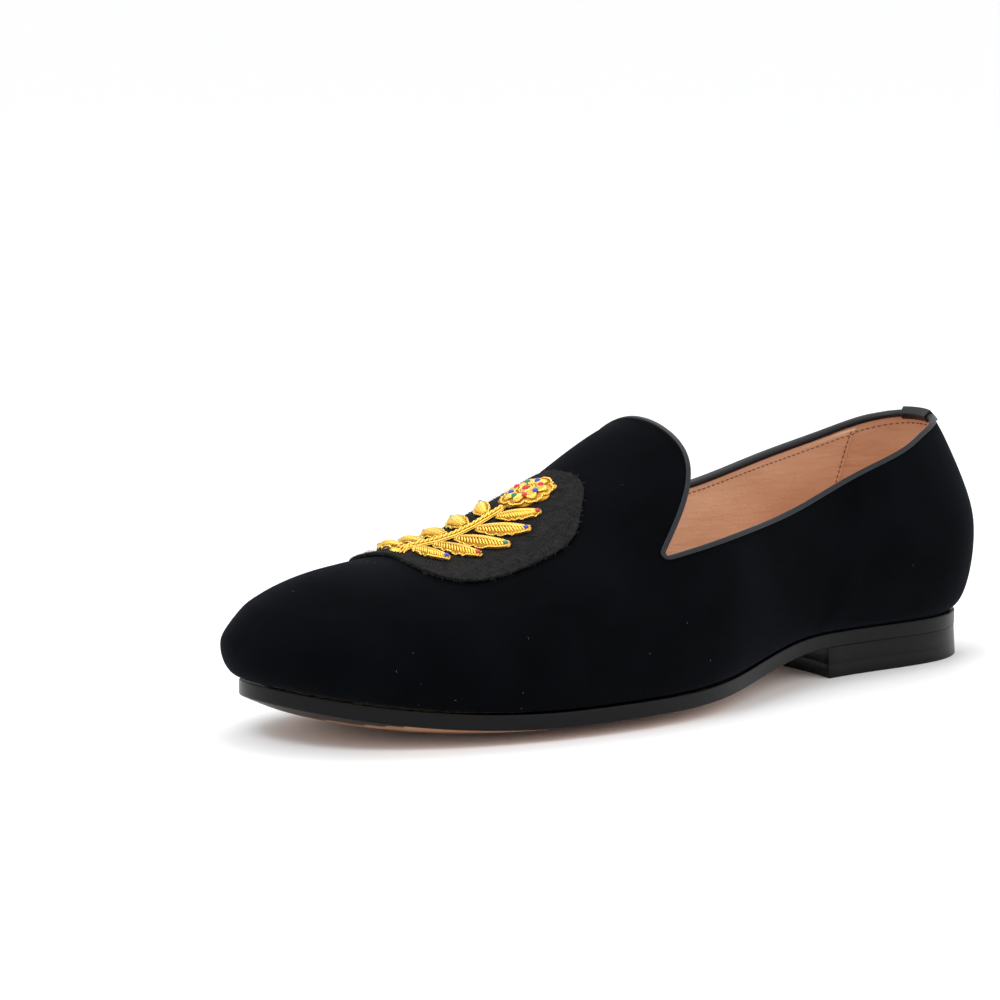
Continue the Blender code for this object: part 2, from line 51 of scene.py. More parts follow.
# Sizes of what this file adds
MERGE = 0.002 * MM          # points of a solid closer than this are one
PILE = 0.25 * MM            # roughness of the velvet's pile
LINT = 34                   # specks on the velvet
STITCH_LENGTH = 1.35 * MM
STITCH_STEP = 1.9 * MM
STITCH_WIDTH = 0.42 * MM
STITCH_DROP = 2.4 * MM      # from the rim down to the lining's stitch row
STITCH_DROP_BACK = 1.6 * MM # added at the back, where the binding's inner side reaches lower
BACK_FROM = 30 * MM         # where along the shoe that starts
BACK_OVER = 60 * MM         # and how long it takes
SEAM_PLACE = 116 * MM       # where the lining's front piece laps over its back piece
SEAM_DEPTH = 54 * MM        # how far the lap runs down from the rim
SEAM_STEP = 1.5 * MM
SEAM_RAISE = 0.7 * MM
SEAM_FADE = 24 * MM
SEAM_STITCH = 1.7 * MM      # from the lap's edge to its stitch row
CLEARANCE = 0.3 * MM        # between the solids; closed in the heel, at the sole and under the binding
WIRE = 0.36 * MM            # radius of the gold wire that covers the leaves
CORD = 0.50 * MM            # radius of the twisted cord round each leaf
CORD_PITCH = 2.0 * MM
STEM_PITCH = 3.6 * MM
LEAF_ROWS = 18              # wires along each half of a leaf
FAN = 7                     # wires in the stem's foot and in each petal
ABOVE = 10 * MM             # how far over a pad the search for its surface starts
KNOT = 1.05 * MM
PETALS = 8
FIBRE = 0.04 * MM
FIBRES = 9000
HALF_PATCH = 33 * MM
STEM_MEDIAL = 6 * MM        # about how far the stem stands to the medial side

# The photograph's view
AZIMUTH = 52.0
ELEVATION = 8.5
DISTANCE = 1.30
LENS = 146.2
AIM_HEIGHT = 0.035
AIM_RIGHT = -0.042
AIM_UP = 0.0275


# Materials

def material(name, color, roughness, metallic=0.0, **sockets):
    made = bpy.data.materials.new(name)
    made.use_nodes = True
    shader = made.node_tree.nodes["Principled BSDF"]
    shader.inputs["Base Color"].default_value = (*color, 1)
    shader.inputs["Roughness"].default_value = roughness
    shader.inputs["Metallic"].default_value = metallic
    for key, value in sockets.items():
        shader.inputs[key.replace("_", " ")].default_value = value
    return made


def node(made, kind, **values):
    item = made.node_tree.nodes.new(kind)
    for key, value in values.items():
        if key in item.inputs:
            item.inputs[key].default_value = value
        else:
            setattr(item, key, value)
    return item


def link(made, source, out, target, into):
    made.node_tree.links.new(source.outputs[out], target.inputs[into])


def place_of(made):
    """Texture coordinates in the shoe's own metres."""
    return node(made, "ShaderNodeTexCoord")


def noise(made, scale, detail=2.0, rough=0.5, stretch=None):
    place = place_of(made)
    texture = node(made, "ShaderNodeTexNoise", Scale=scale, Detail=detail, Roughness=rough)
    if stretch:
        mapping = node(made, "ShaderNodeMapping", Scale=stretch)
        link(made, place, "Object", mapping, "Vector")
        link(made, mapping, "Vector", texture, "Vector")
    else:
        link(made, place, "Object", texture, "Vector")
    return texture


def tint(made, texture, dark, light, low=0.3, high=0.7, output="Fac"):
    """Base colour between two colours by a texture."""
    ramp = node(made, "ShaderNodeValToRGB")
    ramp.color_ramp.elements[0].position = low
    ramp.color_ramp.elements[1].position = high
    ramp.color_ramp.elements[0].color = (*dark, 1)
    ramp.color_ramp.elements[1].color = (*light, 1)
    link(made, texture, output, ramp, "Fac")
    link(made, ramp, "Color", made.node_tree.nodes["Principled BSDF"], "Base Color")
    return ramp


def bump(made, texture, depth, strength=1.0, output="Fac", after=None):
    """Relief of a texture, over another relief if one is given."""
    item = node(made, "ShaderNodeBump", Strength=strength, Distance=depth)
    link(made, texture, output, item, "Height")
    if after:
        link(made, after, "Normal", item, "Normal")
    link(made, item, "Normal", made.node_tree.nodes["Principled BSDF"], "Normal")
    return item


def make_materials():
    looks = {}
    velvet = material("velvet", (0.0015, 0.002, 0.0028), 0.95, Sheen_Weight=0.055, Sheen_Roughness=0.35,
                      Sheen_Tint=(0.30, 0.37, 0.50, 1), Specular_IOR_Level=0.03)
    tint(velvet, noise(velvet, 45, 4), (0.0008, 0.0011, 0.0016), (0.0018, 0.0023, 0.0031))
    bump(velvet, noise(velvet, 2600, 3), PILE, 0.6, after=bump(velvet, noise(velvet, 120, 3), 0.4 * MM, 0.3))
    looks["velvet"] = velvet

    lining = material("lining", (0.72, 0.43, 0.27), 0.48, Specular_IOR_Level=0.35)
    tint(lining, noise(lining, 30, 5, 0.6, (1, 0.6, 1.4)), (0.62, 0.355, 0.22), (0.82, 0.54, 0.37))
    pores = node(lining, "ShaderNodeTexVoronoi", Scale=900.0)
    link(lining, place_of(lining), "Object", pores, "Vector")
    wrinkles = bump(lining, noise(lining, 110, 7, 0.62, (1, 0.45, 2.8)), 1.1 * MM, 0.55)
    grain = bump(lining, noise(lining, 420, 5, 0.6, (1, 0.6, 1.6)), 0.25 * MM, 0.5, after=wrinkles)
    bump(lining, pores, 0.10 * MM, 0.5, "Distance", grain)
    looks["lining"] = lining

    binding = material("binding", (0.0055, 0.0065, 0.0095), 0.42, Sheen_Weight=0.03, Sheen_Roughness=0.3,
                       Sheen_Tint=(0.8, 0.88, 1.0, 1), Specular_IOR_Level=0.28)
    waves = bump(binding, noise(binding, 90, 2), 0.5 * MM, 0.25)
    bump(binding, noise(binding, 1800, 2), 0.08 * MM, 0.5, after=waves)
    looks["binding"] = binding

    edge = material("edge_black", (0.0018, 0.0019, 0.0026), 0.34, Specular_IOR_Level=0.14)
    bump(edge, noise(edge, 300, 5, 0.6, (1, 1, 5)), 0.25 * MM, 0.35)
    looks["edge"] = edge

    tan = material("sole_leather", (0.40, 0.20, 0.10), 0.45)
    tint(tan, noise(tan, 50, 5), (0.34, 0.16, 0.08), (0.45, 0.23, 0.12))
    bump(tan, noise(tan, 700, 4), 0.1 * MM, 0.4)
    looks["tan"] = tan

    felt = material("felt", (0.009, 0.0085, 0.009), 0.95, Sheen_Weight=0.08, Sheen_Roughness=0.5,
                    Sheen_Tint=(0.5, 0.48, 0.47, 1), Specular_IOR_Level=0.08)
    tint(felt, noise(felt, 330, 6, 0.75), (0.002, 0.0019, 0.0021), (0.017, 0.016, 0.0163), 0.36, 0.66)
    bump(felt, noise(felt, 650, 6, 0.75), 1.3 * MM, 1.0)
    looks["felt"] = felt
    looks["fuzz"] = material("felt_fuzz", (0.075, 0.072, 0.072), 0.9, Specular_IOR_Level=0.1)

    gold = material("gold_wire", (0.90, 0.59, 0.11), 0.27, 1.0)
    groove = node(gold, "ShaderNodeTexWave", Scale=1.0, Distortion=0.0)
    run = node(gold, "ShaderNodeUVMap", uv_map="run")
    link(gold, run, "UV", groove, "Vector")
    bump(gold, groove, 0.14 * MM, 0.9)
    looks["gold"] = gold
    # The pads are a darker gold than the wire: partly their own gold, partly painted shade in the gaps
    # between the wires
    looks["gold_pad_with_painted_shade"] = material("gold_pad_with_painted_shade", (0.46, 0.24, 0.03), 0.42, 0.85)

    thread = material("stitching", (0.16, 0.062, 0.028), 0.6)
    looks["thread"] = thread
    dyes = (("red", (0.55, 0.012, 0.02)), ("blue", (0.02, 0.05, 0.42)), ("green", (0.0, 0.20, 0.10)))
    for name, color in dyes:
        looks[name] = material("knot_" + name, color, 0.4, Sheen_Weight=0.3)
    looks["lint"] = material("lint", (0.10, 0.11, 0.12), 0.9)
    return looks


LOOKS = make_materials()


# Making pieces

def rides(item, slot, *nodes):
    """Attach a new piece to the root body and hide the nodes that it stands for. Its material slot is not
    used.
    """
    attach(item, "root")
    if nodes:
        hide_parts(*nodes)
    return item


def mesh_object(name, verts, faces, materials, slots=None, smooth=True):
    mesh = bpy.data.meshes.new(name)
    mesh.from_pydata([tuple(v) for v in verts], [], faces)
    for item in materials:
        mesh.materials.append(item)
    if slots is not None:
        mesh.polygons.foreach_set("material_index", slots)
    if smooth:
        mesh.shade_smooth()
    mesh.update()
    item = bpy.data.objects.new(name, mesh)
    scene.collection.objects.link(item)
    return item


def clean_quads(name):
    """A node's mesh with its triangles joined into quads."""
    bm = bmesh.new()
    bm.from_mesh(NODES[name].data)
    bmesh.ops.remove_doubles(bm, verts=bm.verts, dist=MERGE)
    bmesh.ops.join_triangles(bm, faces=bm.faces, angle_face_threshold=math.radians(50),
                             angle_shape_threshold=math.radians(75))
    bm.normal_update()
    return bm


def crease_sharp(bm, angle):
    layer = bm.edges.layers.float.get("crease_edge") or bm.edges.layers.float.new("crease_edge")
    for e in bm.edges:
        if not e.is_manifold or e.calc_face_angle(0) > math.radians(angle):
            e[layer] = 1.0


def refined(name, bm, levels, bevel=0.0, angle=40):
    """An object from a mesh, subdivided, with bevelled edges."""
    mesh = bpy.data.meshes.new(name)
    bm.to_mesh(mesh)
    bm.free()
    item = bpy.data.objects.new(name, mesh)
    scene.collection.objects.link(item)
    if levels:
        smooth = item.modifiers.new("smooth", "SUBSURF")
        smooth.levels = smooth.render_levels = levels
    if bevel:
        round_off = item.modifiers.new("round", "BEVEL")
        round_off.width = bevel
        round_off.segments = 3
        round_off.limit_method = "ANGLE"
        round_off.angle_limit = math.radians(angle)
        round_off.use_clamp_overlap = False
    made = bpy.data.meshes.new_from_object(item.evaluated_get(bpy.context.evaluated_depsgraph_get()))
    item.modifiers.clear()
    item.data = made
    made.name = name
    made.shade_smooth()
    return item


def islands(bm, angle):
    """Groups of faces that meet without a sharp edge, largest first."""
    bm.faces.ensure_lookup_table()
    seen = set()
    groups = []
    for first in bm.faces:
        if first.index in seen:
            continue
        seen.add(first.index)
        group = [first]
        for face in group:
            for e in face.edges:
                if e.is_manifold and e.calc_face_angle(0) < math.radians(angle):
                    for other in e.link_faces:
                        if other.index not in seen:
                            seen.add(other.index)
                            group.append(other)
        groups.append(group)
    return sorted(groups, key=lambda g: -sum(f.calc_area() for f in g))


def tree_of(item):
    mesh = item.data
    return BVHTree.FromPolygons([v.co[:] for v in mesh.vertices], [p.vertices[:] for p in mesh.polygons])


def make_upper():
    """Velvet outside and leather inside, as two skins of the upper's wall."""
    skins = []
    for rank, name, look in ((0, "velvet_outside", "velvet"), (1, "leather_lining", "lining")):
        bm = clean_quads("upper")
        bm.faces.index_update()
        groups = islands(bm, 55)
        wanted = {f.index for f in groups[rank]}
        if look == "velvet":
            for group in groups[2:]:
                wanted |= {f.index for f in group}
        bmesh.ops.delete(bm, geom=[f for f in bm.faces if f.index not in wanted], context="FACES")
        crease_sharp(bm, 50)
        item = refined(name, bm, 2)
        item.data.materials.append(LOOKS[look])
        skins.append(rides(item, look, "upper"))
    return skins


velvet_skin, lining_skin = make_upper()

# Soft creases of the velvet, in millimetres seen from the side: one end, the other, half width, and depth,
# which is below zero for a ridge. side is 1 lateral, -1 medial, 0 both.
CREASES = (
    # y1 z1 y2 z2 width depth side
    (-26, 49, -48, 33, 5.0, 0.45, 1),
    (-38, 50, -62, 38, 6.0, 0.30, 1),
    (-30, 47, -52, 31, 5.5, 0.40, -1),
    (-40, 50, -66, 36, 6.0, 0.30, -1),
    (78, 60, 66, 24, 4.5, -0.30, 0),
    (70, 58, 57, 22, 5.0, 0.35, 0),
    (-93, 44, -108, 24, 5.0, -0.25, 0),
    (-84, 46, -97, 24, 5.0, 0.25, 0),
    (20, 42, 52, 30, 9.0, 0.35, 0),
)


def crease_velvet(item):
    """Press the creases into the velvet, and fade them where it faces up or forward."""
    mesh = item.data
    spots = np.array([v.co[:] for v in mesh.vertices])
    normals = np.array([v.normal[:] for v in mesh.vertices])
    shift = np.zeros(len(spots))
    seen = spots[:, 1:]
    for y1, z1, y2, z2, width, depth, side in CREASES:
        start = np.array([y1, z1]) * MM
        run = np.array([y2, z2]) * MM - start
        share = ((seen - start) @ run) / (run @ run)
        away = np.linalg.norm(seen - start - np.clip(share, 0, 1)[:, None] * run, axis=1)
        fade = np.exp(-(away / (width * MM)) ** 2)
        if side:
            fade *= np.clip(spots[:, 0] * side / (10 * MM), 0, 1)
        shift -= depth * MM * fade * np.clip(np.abs(normals[:, 0]) * 1.5, 0, 1)
    mesh.vertices.foreach_set("co", (spots + normals * shift[:, None]).ravel())
    mesh.update()


crease_velvet(velvet_skin)


def make_simple(node_name, name, look, slot, levels, bevel, angle=40, down=0.0, up=0.0):
    """A node's own form with softer edges; down and up move its two flat faces."""
    bm = clean_quads(node_name)
    low, high = (corner[2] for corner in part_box(node_name))
    for v in bm.verts:
        if v.co.z < low + 0.01 * MM:
            v.co.z -= down
        elif v.co.z > high - 0.01 * MM:
            v.co.z += up
    crease_sharp(bm, angle)
    item = refined(name, bm, levels, bevel, angle)
    item.data.materials.append(LOOKS[look])
    return rides(item, slot, node_name)


def seat_velvet(item):
    """Bring the velvet's lower edge down to the sole, across the clearance between their solids."""
    tree = tree_of(NODES["outsole"])
    for v in item.data.vertices:
        gap = tree.ray_cast(v.co, Vector((0, 0, -1)), 1.5 * CLEARANCE)[3]
        if gap is not None:
            v.co.z -= gap
    item.data.update()


seat_velvet(velvet_skin)


def draw_in(item, node_name, distance):
    """Draw a trimming onto the node that it covers, across the clearance between their solids."""
    tree = tree_of(NODES[node_name])
    for v in item.data.vertices:
        spot = tree.find_nearest(v.co)[0]
        away = v.co - spot
        v.co -= away.normalized() * min(distance, away.length * 0.9)
    item.data.update()


def make_trim():
    """Binding, tab, footbed, heel and sole, each in its solid's own form."""
    tape = make_simple("topline_binding", "binding_tape", "binding", "binding", 2, 0, 60)
    draw_in(tape, "upper", CLEARANCE)
    fold = make_simple("back_tab", "back_fold", "binding", "binding", 2, 0, 60)
    draw_in(fold, "upper", 2 * CLEARANCE)
    make_simple("insole", "insole_sock", "lining", "lining", 1, 0.4 * MM)
    make_simple("heel_stack", "heel_stacked_lifts", "edge", "sole_edge", 1, 0.05 * MM, 30,
                CLEARANCE, CLEARANCE)
    make_simple("heel_top_piece", "heel_lowest_lift", "edge", "sole_edge", 1, 0.07 * MM, 30)
    sole = make_simple("outsole", "outsole_leather", "edge", "sole_edge", 2, 0.5 * MM, 30)
    sole.data.materials.append(LOOKS["tan"])
    underneath = -0.93
    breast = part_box("heel_stack")[0][1]
    slots = [1 if p.normal.z < underneath and p.center.y < breast else 0 for p in sole.data.polygons]
    sole.data.polygons.foreach_set("material_index", slots)


make_trim()


class Small:
    """Many small shapes gathered into one mesh."""

    def __init__(self):
        self.verts = []
        self.faces = []
        self.slots = []
        self.runs = []

    def add(self, rings, slot=0, run=None):
        """Closed tube through rings of points; run is the length along it, for the wire's grooves."""
        rings = np.asarray(rings)
        count, sides = rings.shape[:2]
        base = len(self.verts)
        self.verts += rings.reshape(-1, 3).tolist()
        self.runs += np.repeat(np.zeros(count) if run is None else run, sides).tolist()
        made = []
        for i in range(count - 1):
            for j in range(sides):
                a = base + i * sides + j
                b = base + i * sides + (j + 1) % sides
                made.append((a, b, b + sides, a + sides))
        made.append(tuple(base + j for j in range(sides))[::-1])
        made.append(tuple(base + (count - 1) * sides + j for j in range(sides)))
        self.faces += made
        self.slots += [slot] * len(made)

    def build(self, name, looks, slot, *nodes):
        item = mesh_object(name, self.verts, self.faces, [LOOKS[k] for k in looks], self.slots)
        layer = item.data.uv_layers.new(name="run")
        corner = np.array(self.runs)[[loop.vertex_index for loop in item.data.loops]]
        layer.data.foreach_set("uv", np.column_stack([corner, 0 * corner]).ravel())
        return rides(item, slot, *nodes)


def sweep(path, up, radii, sides=6, flat=1.0):
    """Rings of a tube along a path; flat squashes it towards the surface below."""
    path = np.asarray(path, float)
    along = np.gradient(path, axis=0)
    along /= np.linalg.norm(along, axis=1)[:, None]
    side = np.cross(along, up)
    side /= np.linalg.norm(side, axis=1)[:, None]
    lift = np.cross(side, along)
    turn = np.arange(sides) * 2 * math.pi / sides
    ring = np.cos(turn)[:, None] * side[:, None] + flat * np.sin(turn)[:, None] * lift[:, None]
    return path[:, None] + np.asarray(radii)[:, None, None] * ring


def length_along(path):
    return np.concatenate([[0], np.cumsum(np.linalg.norm(np.diff(path, axis=0), axis=1))])


def resample(path, step):
    """Points an even step apart on a polyline, and their places along it."""
    run = length_along(path)
    places = np.arange(0, run[-1], step)
    return np.stack([np.interp(places, run, path[:, k]) for k in range(3)], -1), places


# Stitching on the lining

def rim_loop(item):
    """The open top edge of a skin, as points in order round it."""
    bm = bmesh.new()
    bm.from_mesh(item.data)
    bmesh.ops.remove_doubles(bm, verts=bm.verts, dist=MERGE)
    edges = {e for e in bm.edges if e.is_boundary}
    loops = []
    while edges:
        first = edges.pop()
        start, now = first.verts
        loop = [start, now]
        while now is not start:
            step = next((e for e in now.link_edges if e in edges), None)
            if step is None:
                break
            edges.discard(step)
            now = step.other_vert(now)
            loop.append(now)
        loops.append(np.array([v.co[:] for v in loop]))
    bm.free()
    rim = max(loops, key=lambda p: p[:, 2].mean())
    # A set has no fixed order, so the way round is set here: clockwise seen from above
    turn = np.sum(rim[:-1, 0] * rim[1:, 1] - rim[1:, 0] * rim[:-1, 1])
    return rim if turn < 0 else rim[::-1]


def add_stitch(small, spot, normal, ahead):
    """One stitch: a short thread that dips into the leather at both ends."""
    share = np.array([-0.5, -0.3, 0, 0.3, 0.5])
    lift = np.array([-0.2, 0.3, 0.5, 0.3, -0.2]) * STITCH_WIDTH
    path = [np.array(spot + ahead * float(s) * STITCH_LENGTH + normal * float(h))
            for s, h in zip(share, lift)]
    radii = STITCH_WIDTH / 2 * np.array([0.5, 0.9, 1, 0.9, 0.5])
    small.add(sweep(path, np.array(normal), radii, 6, 0.7))


def make_lap():
    """Where the lining's front piece laps over its back piece: a raised edge and its stitch row."""
    tree = tree_of(lining_skin)

    def on_lining(y, z):
        spot, normal, _, _ = tree.ray_cast(Vector((-5 * MM, y, z)), Vector((-1, 0, 0)), 60 * MM)
        if spot is not None and normal.x < 0:
            normal = -normal
        return spot, normal

    def rim_at(y):
        return max(z for z in np.arange(40, 90, 0.5) * MM if on_lining(y, z)[0] is not None)
    # Place ahead of the lap's edge, as a share of its fade, and height, as a share of its raise
    section = ((0, -0.6), (0, 0.7), (0.012, 0.95), (0.03, 1.0), (0.2, 0.72), (0.4, 0.42), (0.6, 0.18),
               (0.8, 0.0), (1.0, -0.15), (1.0, -0.6), (0.5, -0.6))
    small = Small()
    rings = []
    seams = []
    places = [SEAM_PLACE - ahead * SEAM_FADE for ahead, _ in section]
    tops = [rim_at(y) for y in places]
    for depth in np.arange(SEAM_STEP, SEAM_DEPTH, SEAM_STEP):
        spots = [on_lining(y, top - depth) for y, top in zip(places, tops)]
        row = on_lining(SEAM_PLACE - SEAM_STITCH, tops[0] - depth)[0]
        if row is None or any(spot is None for spot, _ in spots):
            continue
        lifts = [lift * SEAM_RAISE for _, lift in section]
        rings.append([np.array(spot + normal * lift) for (spot, normal), lift in zip(spots, lifts)])
        seams.append(row)
    small.add(rings)
    lap = small.build("lining_lap", ["lining"], "lining")
    row = Small()
    points, _ = resample(np.array(seams), STITCH_STEP)
    for i in range(1, len(points) - 1):
        spot, normal, _, _ = tree.find_nearest(Vector(points[i]))
        normal = -normal if normal.x < 0 else normal
        way = Vector(points[i + 1] - points[i - 1]).normalized()
        add_stitch(row, spot + normal * SEAM_RAISE * 0.95, normal, way)
    row.build("lap_stitches", ["thread"], "lining")
    return lap


def make_stitches(lap):
    """The row of stitches under the binding, which runs over the lap."""
    tree = tree_of(lining_skin)
    lap_tree = tree_of(lap)
    rim = rim_loop(lining_skin)
    back = int(rim[:-1, 1].argmax())
    rim = np.roll(rim[:-1], -back, 0)
    points, _ = resample(np.vstack([rim, rim[:1]]), STITCH_STEP)
    along = np.roll(points, -3, 0) - np.roll(points, 3, 0)
    small = Small()
    row = []
    for point, way in zip(points, along):
        normal = tree.find_nearest(Vector(point))[1]
        inward = Vector(way).cross(normal).normalized()
        # On the low sides of the collar the row always runs below the rim
        if inward.z > 0.2 and point[2] < 70 * MM:
            inward = -inward
        spot = Vector(point)
        drop = STITCH_DROP + STITCH_DROP_BACK * min(max((point[1] - BACK_FROM) / BACK_OVER, 0), 1)
        for _ in range(3):
            hit = tree.find_nearest(spot + inward * drop / 3)
            spot = hit[0]
        inside = hit[1] if hit[1].x * point[0] < 0 else -hit[1]
        over = lap_tree.ray_cast(spot + inside * 3 * MM, -inside, 3 * MM)[0]
        row.append((over or spot, hit[1]))
    for i, (spot, normal) in enumerate(row):
        ahead = row[(i + 1) % len(row)][0] - row[i - 1][0]
        if ahead.length < STITCH_STEP * 0.8 or ahead.length > STITCH_STEP * 3.5:
            continue
        ahead.normalize()
        add_stitch(small, spot, normal, ahead)
    small.build("lining_stitches", ["thread"], "lining")


make_stitches(make_lap())


def make_lint():
    """A few specks of lint on the velvet."""
    random.seed(5)
    mesh = velvet_skin.data
    small = Small()
    for _ in range(LINT):
        face = mesh.polygons[random.randrange(len(mesh.polygons))]
        lean = Vector([random.gauss(0, 1) for _ in range(3)])
        way = lean.cross(face.normal).normalized()
        size = random.uniform(0.12, 0.4) * MM
        lifts = np.array([0.3, 1.0, 0.4]) * PILE
        path = [np.array(face.center + way * size * k + face.normal * h) for k, h in zip((-1, 0, 1), lifts)]
        small.add(sweep(path, np.array(face.normal), FIBRE * np.array([1.0, 1.5, 1.0]), 4))
    small.build("velvet_lint", ["lint"], "velvet")


make_lint()


# Patch: felt with loose fibres

def make_patch():
    """The felt and its loose fibres, which stand thickest at its cut rim."""
    bm = clean_quads("badge_patch")
    crease_sharp(bm, 50)
    item = refined("felt_patch", bm, 2, 0.2 * MM, 50)
    item.data.materials.append(LOOKS["felt"])
    rides(item, "felt", "badge_patch")
    mesh = item.data
    random.seed(11)
    centre = Vector([sum(c) / 2 for c in zip(*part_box("badge_patch"))])
    small = Small()
    areas = np.array([p.area for p in mesh.polygons])
    chance = np.cumsum(areas) / areas.sum()
    for _ in range(FIBRES):
        face = mesh.polygons[int(np.searchsorted(chance, random.random()))]
        a, b = (mesh.vertices[face.vertices[i]].co for i in random.sample(range(3), 2))
        root = face.center.lerp(a, random.random() * 0.6).lerp(b, random.random() * 0.6)
        out = Vector((root.x - centre.x, root.y - centre.y, 0)).length / HALF_PATCH
        rim = out > 0.85 or random.random() < out ** 6
        if not rim and random.random() < 0.55:
            continue
        lean = Vector([random.gauss(0, 1) for _ in range(3)]).normalized()
        way = (face.normal * (0.7 if rim else 0.3) + lean * 0.8).normalized()
        reach = random.uniform(0.4, 1.6 if rim else 0.8) * MM
        bend = lean * reach * 0.35
        path = [np.array(root), np.array(root + way * reach * 0.5 + bend), np.array(root + way * reach)]
        small.add(sweep(path, np.array([0.3, 0.5, 0.81]), FIBRE * np.array([1, 0.9, 0.5]), 3))
    small.build("felt_fibres", ["fuzz"], "felt")
    return item


patch = make_patch()
patch_tree = tree_of(patch)


# Gold embroidery over the padded pieces

def own_axes(name):
    """A pad's centre, its length, width and outward axes, and its points."""
    points = np.array([v.co[:] for v in NODES[name].data.vertices])
    centre = points.mean(0)
    out = np.array(patch_tree.find_nearest(Vector(centre))[1])
    length = np.linalg.svd(points - centre, full_matrices=False)[2][0]
    if np.dot(length, (0, 1, 0.3)) < 0:
        length = -length
    length -= out * (length @ out)
    length /= np.linalg.norm(length)
    return centre, length, np.cross(out, length), out, points


def pad_profile(name, steps):
    """A pad's axes and tree, and its place and two edges in each row along it."""
    centre, length, width, out, points = own_axes(name)
    tree = tree_of(NODES[name])
    along = (points - centre) @ length
    rows = []
    for place in np.linspace(along.min(), along.max(), steps + 2)[1:-1]:
        found = []
        for across in np.arange(-9, 9.01, 0.15) * MM:
            start = centre + length * place + width * across + out * ABOVE
            if tree.ray_cast(Vector(start), Vector(-out), 2 * ABOVE)[0] is not None:
                found.append(across)
        if found:
            rows.append((place, min(found), max(found)))
    return centre, length, width, out, tree, rows


def over_pad(shape, place, across, height):
    """A point over a pad's surface, or over the felt beside it."""
    centre, length, width, out, tree, _ = shape
    start = centre + length * place + width * across + out * ABOVE
    spot = tree.ray_cast(Vector(start), Vector(-out), 2 * ABOVE)[0]
    if spot is None:
        spot = patch_tree.ray_cast(Vector(start), Vector(-out), 2.5 * ABOVE)[0]
    if spot is None:
        spot = start - out * ABOVE
    return np.array(spot) + out * height


def pad_reach(shape, turn):
    """How far a pad reaches from its centre in one direction."""
    centre, length, width, out, tree, _ = shape
    for radius in np.arange(12, 3, -0.15) * MM:
        start = centre + length * radius * math.cos(turn) + width * radius * math.sin(turn) + out * ABOVE
        if tree.ray_cast(Vector(start), Vector(-out), 2 * ABOVE)[0] is not None:
            return radius
    return 3 * MM


def cover_leaf(small, name, slant):
    """Wires laid side by side from the middle of a leaf to both edges, and a cord round it."""
    shape = pad_profile(name, LEAF_ROWS)
    rows = shape[5]
    out = shape[3]
    places = np.array([r[0] for r in rows])
    lows = np.array([r[1] for r in rows])
    highs = np.array([r[2] for r in rows])
    middle = (lows + highs) / 2
    for i in range(len(rows)):
        for side in (-1, 1):
            goal = places[i] + slant * abs(highs[i] - lows[i]) * 0.45
            goal = min(max(goal, places[0]), places[-1])
            edge = 0.84 * float(np.interp(goal, places, highs if side > 0 else lows))
            share = np.linspace(0.05, 1, 6)
            path = [over_pad(shape, places[i] + (goal - places[i]) * f, middle[i] + (edge - middle[i]) * f,
                             WIRE * (0.75 if f < 1 else 0.2)) for f in share]
            radii = WIRE * np.array([0.8, 1, 1, 1, 1, 0.6])
            small.add(sweep(path, out, radii), 0, length_along(np.array(path)))
    ring_places = np.concatenate([places, places[::-1]])
    ring_edges = np.concatenate([highs, lows[::-1]])
    path = np.array([over_pad(shape, p, e * 1.02, CORD * 0.5) for p, e in zip(ring_places, ring_edges)])
    path = np.vstack([path, path[:1]])
    add_twist(small, path, out, CORD * 0.42, CORD * 0.55, CORD_PITCH)
    vein = [over_pad(shape, p, m, WIRE * 1.3) for p, m in zip(places[1:-1], middle[1:-1])]
    small.add(sweep(vein, out, np.full(len(vein), WIRE * 0.8)), 0, length_along(np.array(vein)))


def add_twist(small, path, out, spread, radius, pitch, step=0.3 * MM):
    """Two wires twisted round each other along a path."""
    fine, places = resample(np.asarray(path), step)
    along = np.gradient(fine, axis=0)
    side = np.cross(along, out)
    side /= np.linalg.norm(side, axis=1)[:, None]
    turn = places / pitch * 2 * math.pi
    for half in (0, math.pi):
        offset = np.cos(turn + half)[:, None] * side + 0.7 * np.sin(turn + half)[:, None] * out
        small.add(sweep(fine + spread * offset, out, np.full(len(fine), radius), 5), 0, places)


def cover_stem(small):
    """Wires on both sides of the stem, a twist along its middle, and a fan at its foot."""
    stem = pad_profile("spray_stem", 60)
    out = stem[3]
    # Across the stem, and height, for each side wire
    for lane, lift in ((-1.0, 0.2), (1.0, 0.2), (-1.15, -0.9), (1.15, -0.9)):
        path = [over_pad(stem, place, (low + high) / 2 + lane * (high - low) * 0.42, 0) + out * lift * WIRE
                for place, low, high in stem[5]]
        small.add(sweep(path, out, np.full(len(path), WIRE * 1.1)), 0, length_along(np.array(path)))
    middle = [over_pad(stem, place, (low + high) / 2, WIRE * 1.0) for place, low, high in stem[5]]
    add_twist(small, middle, out, WIRE * 0.9, WIRE * 1.2, STEM_PITCH)
    foot, low, high = stem[5][0]
    for lane in np.linspace(-1, 1, FAN):
        path = []
        for share in np.linspace(0, 1, 7):
            across = (low + high) / 2 + lane * (0.6 + 3.4 * share ** 1.4) * MM
            along = foot + (2.5 - 6.0 * share * (1 - 0.18 * lane ** 2)) * MM
            path.append(over_pad(stem, along, across, WIRE * 0.9))
        radii = WIRE * np.array([0.8, 1, 1, 1, 1, 1, 0.7])
        small.add(sweep(path, out, radii), 0, length_along(np.array(path)))


